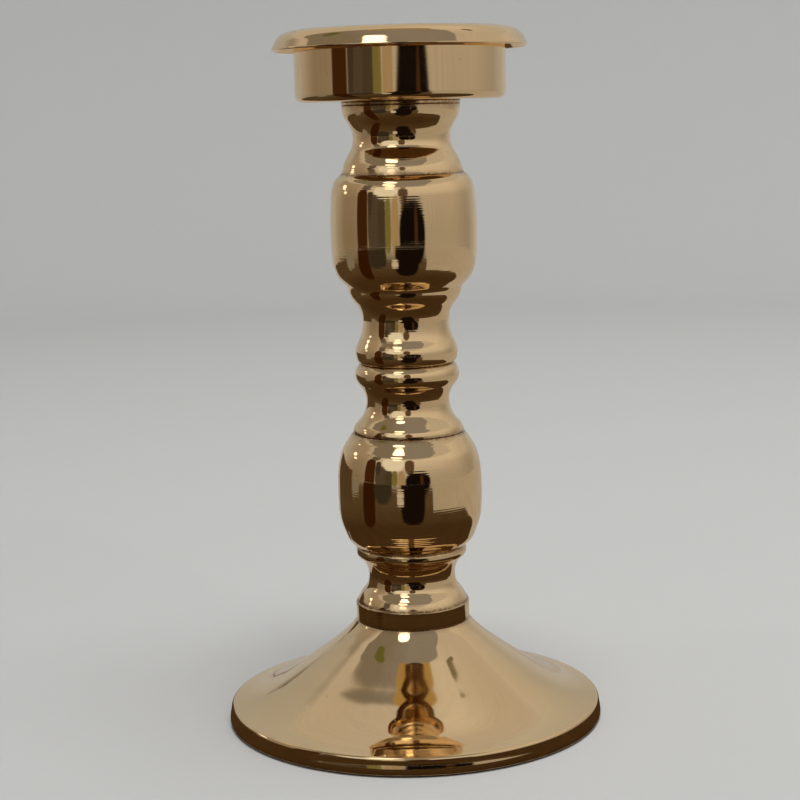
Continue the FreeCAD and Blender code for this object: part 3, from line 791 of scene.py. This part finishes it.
class CANDLEHOLDER_OT_candle_pan(bpy.types.Operator):
    """Loose candle pan with a rolled crest and a lip that hangs over the cup"""

    bl_idname = "candle_holder.candle_pan"
    bl_label = "Candle Pan"

    def execute(self, context):
        sizes = context.scene.holder_sizes
        cup_radius = levels("cup")[0]
        low, crest = levels("candle_pan")[1:]
        sheet, bore, corner, roll = (
            sizes.pan_sheet, sizes.pan_bore, sizes.pan_corner, sizes.pan_roll)
        floor, wall_top = low + sheet, crest - roll
        shoulder_lean, knee_lean, edge_lean = np.radians((92, 138, 153))
        # Shares of the lip's drop and of its reach beyond the cup
        shoulder_drop, knee_drop, knee_reach = 0.027, 0.36, 0.691
        shoulder = (cup_radius - sheet * math.cos(shoulder_lean),
                    crest - sizes.lip_drop * shoulder_drop, shoulder_lean)
        knee = (cup_radius + (sizes.lip_radius - cup_radius) * knee_reach,
                crest - sizes.lip_drop * knee_drop, knee_lean)
        lip = (sizes.lip_radius, crest - sizes.lip_drop, edge_lean)
        inner = smooth_run([(bore - corner, floor, OUTWARD), (bore, floor + corner, 0),
                            (bore, wall_top, 0), (bore + roll, crest, OUTWARD), shoulder, knee,
                            lip])
        under_shoulder, under_knee, under_lip = [
            inset(station, -sheet) for station in (shoulder, knee, lip)]
        big = corner + sheet
        outer = smooth_run([(bore + sheet - big, low, OUTWARD), (bore + sheet, low + big, 0),
                            (bore + sheet, wall_top, 0), (bore + roll, crest - sheet, OUTWARD),
                            under_shoulder, under_knee, under_lip])
        edge = arc(under_lip[:2], edge_lean, lip[:2])
        base = straight((0, low), (bore + sheet - big, low))
        inside = straight((bore - corner, floor), (0, floor))
        rows = np.vstack([base[:-1], outer, edge[1:-1], backwards(inner), inside[1:]])
        seams = [(cup_radius, shoulder[1] - sheet), (bore, floor)]
        gilded("polished_candle_pan", rows, "candle_pan", "candle_pan", closed=False,
               seams=seams, ripple=0.3)
        return {"FINISHED"}


# Hardware

def hexagon_nut(name, node):
    """Hexagon nut: an outline turned about Z and held inside a hexagon.

    The point at row u and angle v is at the smaller of r(u) and the hexagon's reach,
    flat / cos(v mod 60 degrees - 30 degrees).
    """
    corner, low, high = levels(node)
    flat = corner * math.cos(math.pi / 6)
    chamfer = (corner - flat) / 2
    bore, mouth, sectors = 3.05 * MM, 0.35 * MM, 144
    outline = np.vstack([
        [(bore, low + mouth), (bore + mouth, low)],
        np.linspace((flat, low), (corner, low + chamfer), 14),
        np.linspace((corner, low + chamfer), (corner, high - chamfer), 4)[1:],
        np.linspace((corner, high - chamfer), (flat, high), 14)[1:],
        [(bore + mouth, high), (bore, high - mouth)],
    ])
    angle = np.arange(sectors) * (2 * math.pi / sectors)
    reach = flat / np.cos(np.mod(angle, math.pi / 3) - math.pi / 6)
    corners = around(np.minimum(outline[:, 0:1], reach), angle, outline[:, 1:2])
    faces = grid_faces(len(outline), sectors, True, True)
    plated(fill_mesh(name, corners, faces, crease=24), node)


class CANDLEHOLDER_OT_hardware(bpy.types.Operator):
    """Threaded tie rod, hexagon nuts, washers and the split spring washer"""

    bl_idname = "candle_holder.hardware"
    bl_label = "Rod, Nuts and Washers"

    def execute(self, context):
        sizes = context.scene.holder_sizes
        self.rod(sizes)
        hexagon_nut("zinc_foot_nut", "foot_nut")
        hexagon_nut("zinc_cup_nut", "cup_nut")
        for node in ("foot_washer", "cup_washer"):
            radius, low, high = levels(node)
            rows = flat_ring_rows(radius, sizes.rod_hole, low, high, 0.25 * MM, 0.12 * MM)
            plated(turned("zinc_" + node, rows), node)
        self.spring(sizes)
        return {"FINISHED"}

    def rod(self, sizes):
        """Rod whose surface at level z and angle v lies at radius minus a thread's depth.

        The depth follows a rounded V wave of z / pitch - v / 360 degrees, and fades out
        where the thread ends and at the chamfers.
        """
        radius, low, high = levels("tie_rod")
        chamfer, pitch, length = 0.6 * MM, sizes.thread_pitch, sizes.thread_length
        sectors, rows_in_turn = 72, 10
        count = int(length / pitch * rows_in_turn)
        near_low = np.linspace(low, low + length, count)
        plain = np.linspace(low + length, high - length, 12)[1:-1]
        near_high = np.linspace(high - length, high, count)
        level = np.concatenate([near_low, plain, near_high])[:, None]
        angle = np.arange(sectors) * (2 * math.pi / sectors)
        phase = np.mod(level / pitch - angle / (2 * math.pi), 1)
        groove = soft_step(1 - np.abs(2 * phase - 1))
        from_end = np.minimum(level - low, high - level)
        fade = np.clip((length - from_end) / (1.5 * pitch), 0, 1)
        taper = np.clip(chamfer - from_end, 0, None)
        reach = np.minimum(radius - sizes.thread_depth * groove * fade, radius - taper)
        corners = np.vstack([around(reach, angle, level), [0, 0, low], [0, 0, high]])
        faces = grid_faces(len(level), sectors, False, True, True, True)
        plated(fill_mesh("zinc_tie_rod", corners, faces), "tie_rod")

    def spring(self, sizes):
        """Split washer: a rounded section carried around Z from one slanted face to the other.

        The cut's two faces are planes y = +-half width - z' tan(slant), where z' is the
        height over the washer's middle, so a section point at radius r starts at the angle
        asin of that over r.
        """
        radius, low, high = levels("foot_spring_washer")
        section = flat_ring_rows(radius, sizes.rod_hole, low, high, 0.2 * MM, 0.18 * MM)
        slant = math.radians(20)
        half = 0.4 * MM / math.cos(slant)
        shift = (section[:, 1:2] - (low + high) / 2) * math.tan(slant)
        reach = section[:, 0:1]
        first = np.arcsin((half - shift) / reach)
        last = 2 * math.pi + np.arcsin((-half - shift) / reach)
        share = np.linspace(0, 1, 97)
        angle = first + (last - first) * share
        corners = around(reach, angle, section[:, 1:2])
        count = len(section)
        faces = grid_faces(count, len(share), True, False)
        start = np.arange(count) * len(share)
        faces.append(start.tolist())
        faces.append((start + len(share) - 1)[::-1].tolist())
        plated(fill_mesh("zinc_spring_washer", corners, faces), "foot_spring_washer")


class CANDLEHOLDER_OT_felt(bpy.types.Operator):
    """Felt ring glued under the foot's rim"""

    bl_idname = "candle_holder.felt"
    bl_label = "Felt Ring"

    def execute(self, context):
        outer, low, high = levels("foot_felt")
        inner = context.scene.holder_sizes.foot_land_radius + 0.7 * MM
        worn = (high - low) * 0.45
        pressed = worn * 0.3
        section = smooth_run([
            (inner + worn, low, OUTWARD), (outer - worn, low, OUTWARD), (outer, low + worn, 0),
            (outer - pressed, high, -OUTWARD), (inner + pressed, high, -OUTWARD),
            (inner, low + worn, -2 * OUTWARD), (inner + worn, low, -3 * OUTWARD),
        ])[:-1]
        piece = turned("felt_ring", section)
        dress(piece, finish_of("pressed_felt"), "holder", "felt", "foot_felt")
        return {"FINISHED"}


class CANDLEHOLDER_OT_centring_rings(bpy.types.Operator):
    """Turned brass finish for the centring rings of the frame"""

    bl_idname = "candle_holder.centring_rings"
    bl_label = "Centring Rings"

    def execute(self, context):
        brass = finish_of("turned_brass")
        for place in ("foot", "seam", "groove", "neck"):
            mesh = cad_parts[place + "_centring_ring"].data
            mesh.materials.clear()
            mesh.materials.append(brass)
        return {"FINISHED"}


# Studio

def soft_lamp(name, spot, target, side, power):
    """Square area lamp that shines from spot to target and isn't seen itself."""
    lamp = bpy.data.lights.new(name, "AREA")
    lamp.shape = "RECTANGLE"
    lamp.size, lamp.size_y = side, side
    lamp.energy = power
    piece = bpy.data.objects.new(name, lamp)
    aim = (Vector(target) - Vector(spot)).to_track_quat("-Z", "Y")
    piece.matrix_world = Matrix.Translation(spot) @ aim.to_matrix().to_4x4()
    piece.visible_camera = False
    piece.visible_glossy = False
    bpy.context.scene.collection.objects.link(piece)


def only_reflected(card):
    """Studio card that shows in the metal and nowhere else."""
    for flag in ("visible_camera", "visible_diffuse", "visible_shadow"):
        setattr(card, flag, False)


def card_paint(name, grain):
    """Card that gives its own attribute's colour as light, with faint streaks across."""
    bench = Bench(name)
    streaks = bench.add("Mapping", "streaks", {
        "Vector": bench.place(), "Rotation": (0, 0, math.radians(32)), "Scale": (1, 14, 1)})
    veins = bench.noise("streaks", streaks.outputs["Vector"], 7, 3)
    shade = bench.stretch(veins, 0.3, 0.7, 1 - grain, 1 + grain)
    inputs = {0: bench.attribute("tone", "Color"), "Scale": shade}
    light = bench.add("VectorMath", "streaked", inputs, operation="SCALE")
    return bench.apply(
        Base_Color=(0, 0, 0), Specular_IOR_Level=0.0, Emission_Strength=1.0,
        Emission_Color=light.outputs["Vector"], Alpha=bench.attribute("cover"))


def held(value):
    """Value held between 0 and 1, with an axis added so that it can weigh colours."""
    return np.clip(value, 0, 1)[..., None]


def mixed(first, second, share):
    """Tone that goes from first to second with share."""
    return np.asarray(first) * (1 - share) + np.asarray(second) * share


def at_bearing(reach, azimuth, level):
    """Corners (r sin a, -r cos a, z) of a card, with the azimuth in degrees."""
    turn = np.radians(azimuth)
    return np.stack([reach * np.sin(turn), -reach * np.cos(turn), level + 0 * azimuth], axis=-1)


def painted_card(name, corners, tone, patches, cover, grain):
    """Card of painted light on a grid of corners, seen only in the metal, whose tone is overlaid
    by soft patches in turn.

    A patch's weight is w w (3 - 2 w) with w = (1 - |a|^2.5 - |e|^2.5) / 0.3 held between 0
    and 1, where a and e are the distances from its middle in half widths and half heights,
    seen from the holder's middle.
    """
    rows, columns = corners.shape[:2]
    away = corners - np.array((0, 0, MIDDLE))
    azimuth = np.degrees(np.arctan2(away[..., 0], -away[..., 1]))
    rise = np.degrees(np.arctan2(away[..., 2], np.hypot(away[..., 0], away[..., 1])))
    for side, height, half_width, half_height, colour in patches:
        across = np.abs(azimuth - side) / half_width
        along = np.abs(rise - height) / half_height
        weight = soft_step(held((1 - across ** 2.5 - along ** 2.5) / 0.3))
        tone = mixed(tone, colour, weight)
    tone = np.concatenate([tone, np.ones((rows, columns, 1))], axis=-1)
    card = fill_mesh(name, corners.reshape(-1, 3), grid_faces(rows, columns, False, False),
                     tone=tone.reshape(-1, 4), cover=(cover + 0 * azimuth).ravel())
    card.data.materials.append(card_paint(name + "_paint", grain))
    only_reflected(card)


def room_tone(azimuth, rise):
    """Plain tone by height for the far left, the left and the right, blended by azimuth."""
    right = np.interp(rise, (0, 8, 20, 34, 44), (0.37, 0.42, 0.58, 0.62, 0.50))
    right = right * np.interp(azimuth, (85, 110), (1, 0.84))
    left = np.interp(rise, (0, 12, 30, 50), (0.21, 0.25, 0.31, 0.24))
    far_left = np.interp(rise, (0, 12, 24, 50), (0.34, 0.40, 0.32, 0.2))
    sides = (-126, -104, -84, -58, -40)
    shares = [np.interp(azimuth, sides, values) for values in (
        (1, 0, 0, 0, 0), (0, 1, 1, 0.4, 0), (0, 0, 0, 0.6, 1))]
    tints = ((1.0, 0.93, 0.88), (1.08, 0.93, 0.78), (1.02, 0.965, 0.90))
    return sum((share * level)[..., None] * np.array(tint)
               for share, level, tint in zip(shares, (far_left, left, right), tints))


def room_card():
    """Part of a sphere about the holder: (d cos e sin a, -d cos e cos a, d sin e).

    It paints the light and shade of a room for the metal to reflect, and fades out over 30
    degrees at the right, 8 at the left and 10 at the top.
    """
    distance = 1.15
    azimuth, rise = np.meshgrid(np.linspace(-136, 152, 380), np.linspace(-5.4, 62, 110))
    climb = np.radians(rise)
    corners = at_bearing(distance * np.cos(climb), azimuth, MIDDLE + distance * np.sin(climb))
    cover = np.clip((150 - azimuth) / 30, 0, 1) * np.clip((azimuth + 135) / 8, 0, 1)
    cover = cover * np.clip((61 - rise) / 10, 0, 1)
    painted_card("room_card", corners, room_tone(azimuth, rise), room_reflection_patches, cover, 0.08)


def ceiling_card():
    """Level pale card overhead, seen only in the metal, with a painted glow, a grey patch of
    painted shade in front and a gold strip that is a painted reflection of the gold stem.

    The grey patch ends at the curved line y = back(x); the strip's weight is
    (1 - |x / 0.125|^4 - |(y + 0.03) / 0.028|^4) / 0.3 held between 0 and 1.
    """
    height, reach = 0.62, 0.78
    side, depth = np.meshgrid(np.linspace(-reach, reach, 300), np.linspace(-reach, reach, 300))
    back = np.interp(side, (-0.68, -0.62, -0.56, -0.5, -0.445, -0.343, -0.217, -0.146, 0.0,
                            0.106, 0.2125, 0.415, 0.5),
                     (-0.8, -0.05, 0.17, 0.238, 0.24, 0.145, 0.044, 0.008, -0.032,
                      -0.043, -0.06, -0.23, -0.8))
    corners = np.stack([side, depth, height + 0 * side], axis=-1)
    # Grey patch: painted shade that the metal reflects; glow: painted light on the pale card
    grey = mixed((0.20, 0.185, 0.165), (0.24, 0.235, 0.24), held((side + 0.28) / 0.24))
    glow = np.exp(-((side - 0.16) / 0.16) ** 2 - ((depth - 0.08) / 0.16) ** 2)
    pale = (0.475 + 0.12 * glow)[..., None] * np.array((1.02, 0.98, 0.93))
    tone = mixed(pale, grey, held((back - depth) / 0.014 + 0.5))
    # Gold strip: painted reflection of the gold stem, which widens the stem's reflection in the
    # foot
    strip = 1 - np.abs(side / 0.125) ** 4 - np.abs((depth + 0.03) / 0.028) ** 4
    tone = mixed(tone, (0.36, 0.25, 0.09), held(strip / 0.3))
    cover = np.clip((reach - np.hypot(side, depth)) / 0.12, 0, 1)
    painted_card("ceiling_card", corners, tone, ceiling_reflection_patches, cover, 0.05)


def table_card(near, far):
    """Dark card just above the floor, from the foot's edge out, with steps of equal ratio, seen
    only
    in the metal: a painted dark reflection where the floor itself is pale.

    Its tone goes from near to far, then to the tone all round. Beyond an uneven edge, and
    inside a gap at the back left, it is as pale as the backdrop.
    """
    inner, outer, lift = 0.0603, 1.14, 0.4 * MM
    azimuth, share = np.meshgrid(np.linspace(-180, 180, 241), np.linspace(0, 1, 150))
    edge = np.interp(azimuth, (-180, -158, -150, -120, -100, -88, -78, 28, 36, 95, 120, 140, 180),
                     (0.06, 0.06, 0.34, 0.42, 0.37, 0.42, 2.0, 2.0, 0.27, 0.27, 0.17, 0.06, 0.06))
    pale = np.interp(azimuth, (-180, -150, -130, -100, -80, 30, 60, 180),
                     (0.42, 0.42, 0.32, 0.20, 0.20, 0.36, 0.37, 0.42))[..., None]
    gap = np.interp(azimuth, (-180, -140, -128), (0.17, 0.15, 0.03))
    reach = inner * (outer / inner) ** share
    rise = -np.degrees(np.arctan2(MIDDLE, reach))
    tone = mixed(near, far, held((reach - 0.14) / 0.22))
    tone = mixed(tone, room_tone(azimuth, 0 * rise), held((rise + 12) / 5))
    tone = mixed(tone, pale * np.array((1.02, 0.95, 0.87)), held((reach / edge - 1) / 0.05))
    tone = mixed(tone, (0.42, 0.40, 0.37), held((gap - reach) / 0.02))
    corners = at_bearing(reach, azimuth, lift)
    painted_card("table_card", corners, tone, room_reflection_patches + floor_reflection_patches, 1.0, 0.14)


def low_card():
    """Low dark band at the back left, seen only in the metal as a painted dark reflection, which
    fades out over 5 degrees at each end.
    """
    distance, left, right = 0.34, -152, -100
    azimuth, level = np.meshgrid(np.linspace(left, right, 80), np.linspace(0.001, 0.09, 12))
    corners = at_bearing(distance, azimuth, level)
    cover = np.clip((azimuth - left) / 5, 0, 1) * np.clip((right - azimuth) / 5, 0, 1)
    tone = np.array((0.075, 0.05, 0.026)) + 0 * corners
    painted_card("low_card", corners, tone, [], cover, 0.15)


class CANDLEHOLDER_OT_studio(bpy.types.Operator):
    """Seamless pale floor and wall, cards for the metal to reflect, soft lamps, camera"""

    bl_idname = "candle_holder.studio"
    bl_label = "Studio and Camera"

    def execute(self, context):
        colours = context.scene.holder_colours
        floor_reach, wall_reach, ceiling = 1.25, 1.75, 3.2
        run = smooth_run([(0.002, 0, OUTWARD), (floor_reach, 0, OUTWARD),
                          (wall_reach, wall_reach - floor_reach, 0), (wall_reach, ceiling, 0)])
        rows = backwards(np.vstack([[(0, 0, OUTWARD)], run]))
        # The backdrop needs far fewer rows than the outlines of the metal
        rows = rows[np.linspace(0, len(rows) - 1, 240).astype(int)]
        backdrop = turned("backdrop", rows, closed=False)
        backdrop.data.materials.append(finish_of("studio_paint"))
        table_card(colours.near_floor, colours.far_floor)
        ceiling_card()
        room_card()
        low_card()
        soft_lamp("overhead_lamp", (0.35, -0.3, 2.1), (0.1, 0, 0), side=1.3, power=20)
        soft_lamp("wall_lamp", (0.1, -0.5, 2.3), (1.2, 1.4, 0.7), side=0.8, power=24)
        world = bpy.data.worlds.new("studio_world")
        world.use_nodes = True
        world.node_tree.nodes["Background"].inputs["Color"].default_value = (0.5, 0.5, 0.5, 1)
        context.scene.world = world
        context.scene.view_settings.view_transform = "Standard"
        self.camera(context)
        return {"FINISHED"}

    def camera(self, context):
        """Camera with the photograph's place, turn, tilt and field of view."""
        place, focal_pixels, picture_pixels = (0, -0.56083, 0.19095), 1790.0, 800.0
        eye = bpy.data.cameras.new("camera")
        eye.sensor_width = 36.0
        eye.lens = focal_pixels / picture_pixels * eye.sensor_width
        eye.clip_start, eye.clip_end = 0.01, 20.0
        pitch, yaw, roll = math.radians(8.928), math.radians(-0.254), math.radians(-1.439)
        ahead = Vector((math.sin(yaw) * math.cos(pitch), math.cos(yaw) * math.cos(pitch),
                        -math.sin(pitch)))
        level = Vector((math.cos(yaw), -math.sin(yaw), 0))
        above = level.cross(ahead)
        right = level * math.cos(roll) + above * math.sin(roll)
        top = above * math.cos(roll) - level * math.sin(roll)
        turn = Matrix((right, top, -ahead)).transposed().to_4x4()
        holder = bpy.data.objects.new("camera", eye)
        holder.matrix_world = Matrix.Translation(place) @ turn
        context.scene.collection.objects.link(holder)
        context.scene.camera = holder


class CANDLEHOLDER_PT_panel(bpy.types.Panel):
    """Sizes, colours and one button for each step"""

    bl_idname = "CANDLEHOLDER_PT_panel"
    bl_label = "Candle Holder"
    bl_space_type = "VIEW_3D"
    bl_region_type = "UI"
    bl_category = "Candle Holder"

    def draw(self, context):
        for group in (context.scene.holder_sizes, context.scene.holder_colours):
            box = self.layout.box()
            for key in group.bl_rna.properties.keys():
                if key not in ("rna_type", "name"):
                    box.prop(group, key)
        for step in steps:
            self.layout.operator(step.bl_idname)


steps = (
    CANDLEHOLDER_OT_studio,
    CANDLEHOLDER_OT_foot,
    CANDLEHOLDER_OT_lower_stem,
    CANDLEHOLDER_OT_middle_spool,
    CANDLEHOLDER_OT_upper_stem,
    CANDLEHOLDER_OT_cup,
    CANDLEHOLDER_OT_candle_pan,
    CANDLEHOLDER_OT_hardware,
    CANDLEHOLDER_OT_felt,
    CANDLEHOLDER_OT_centring_rings,
)
classes = (HolderSizes, HolderColours) + steps + (CANDLEHOLDER_PT_panel,)


def register():
    """Registers the classes and hangs the two property groups on the scene."""
    for item in classes:
        bpy.utils.register_class(item)
    bpy.types.Scene.holder_sizes = PointerProperty(type=HolderSizes)
    bpy.types.Scene.holder_colours = PointerProperty(type=HolderColours)


def unregister():
    """Takes away what register added."""
    del bpy.types.Scene.holder_colours
    del bpy.types.Scene.holder_sizes
    for item in reversed(classes):
        bpy.utils.unregister_class(item)


def main():
    """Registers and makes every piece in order."""
    register()
    make = bpy.ops.candle_holder
    make.studio()
    make.foot()
    make.lower_stem()
    make.middle_spool()
    make.upper_stem()
    make.cup()
    make.candle_pan()
    make.hardware()
    make.felt()
    make.centring_rings()


if __name__ == "__main__":
    main()
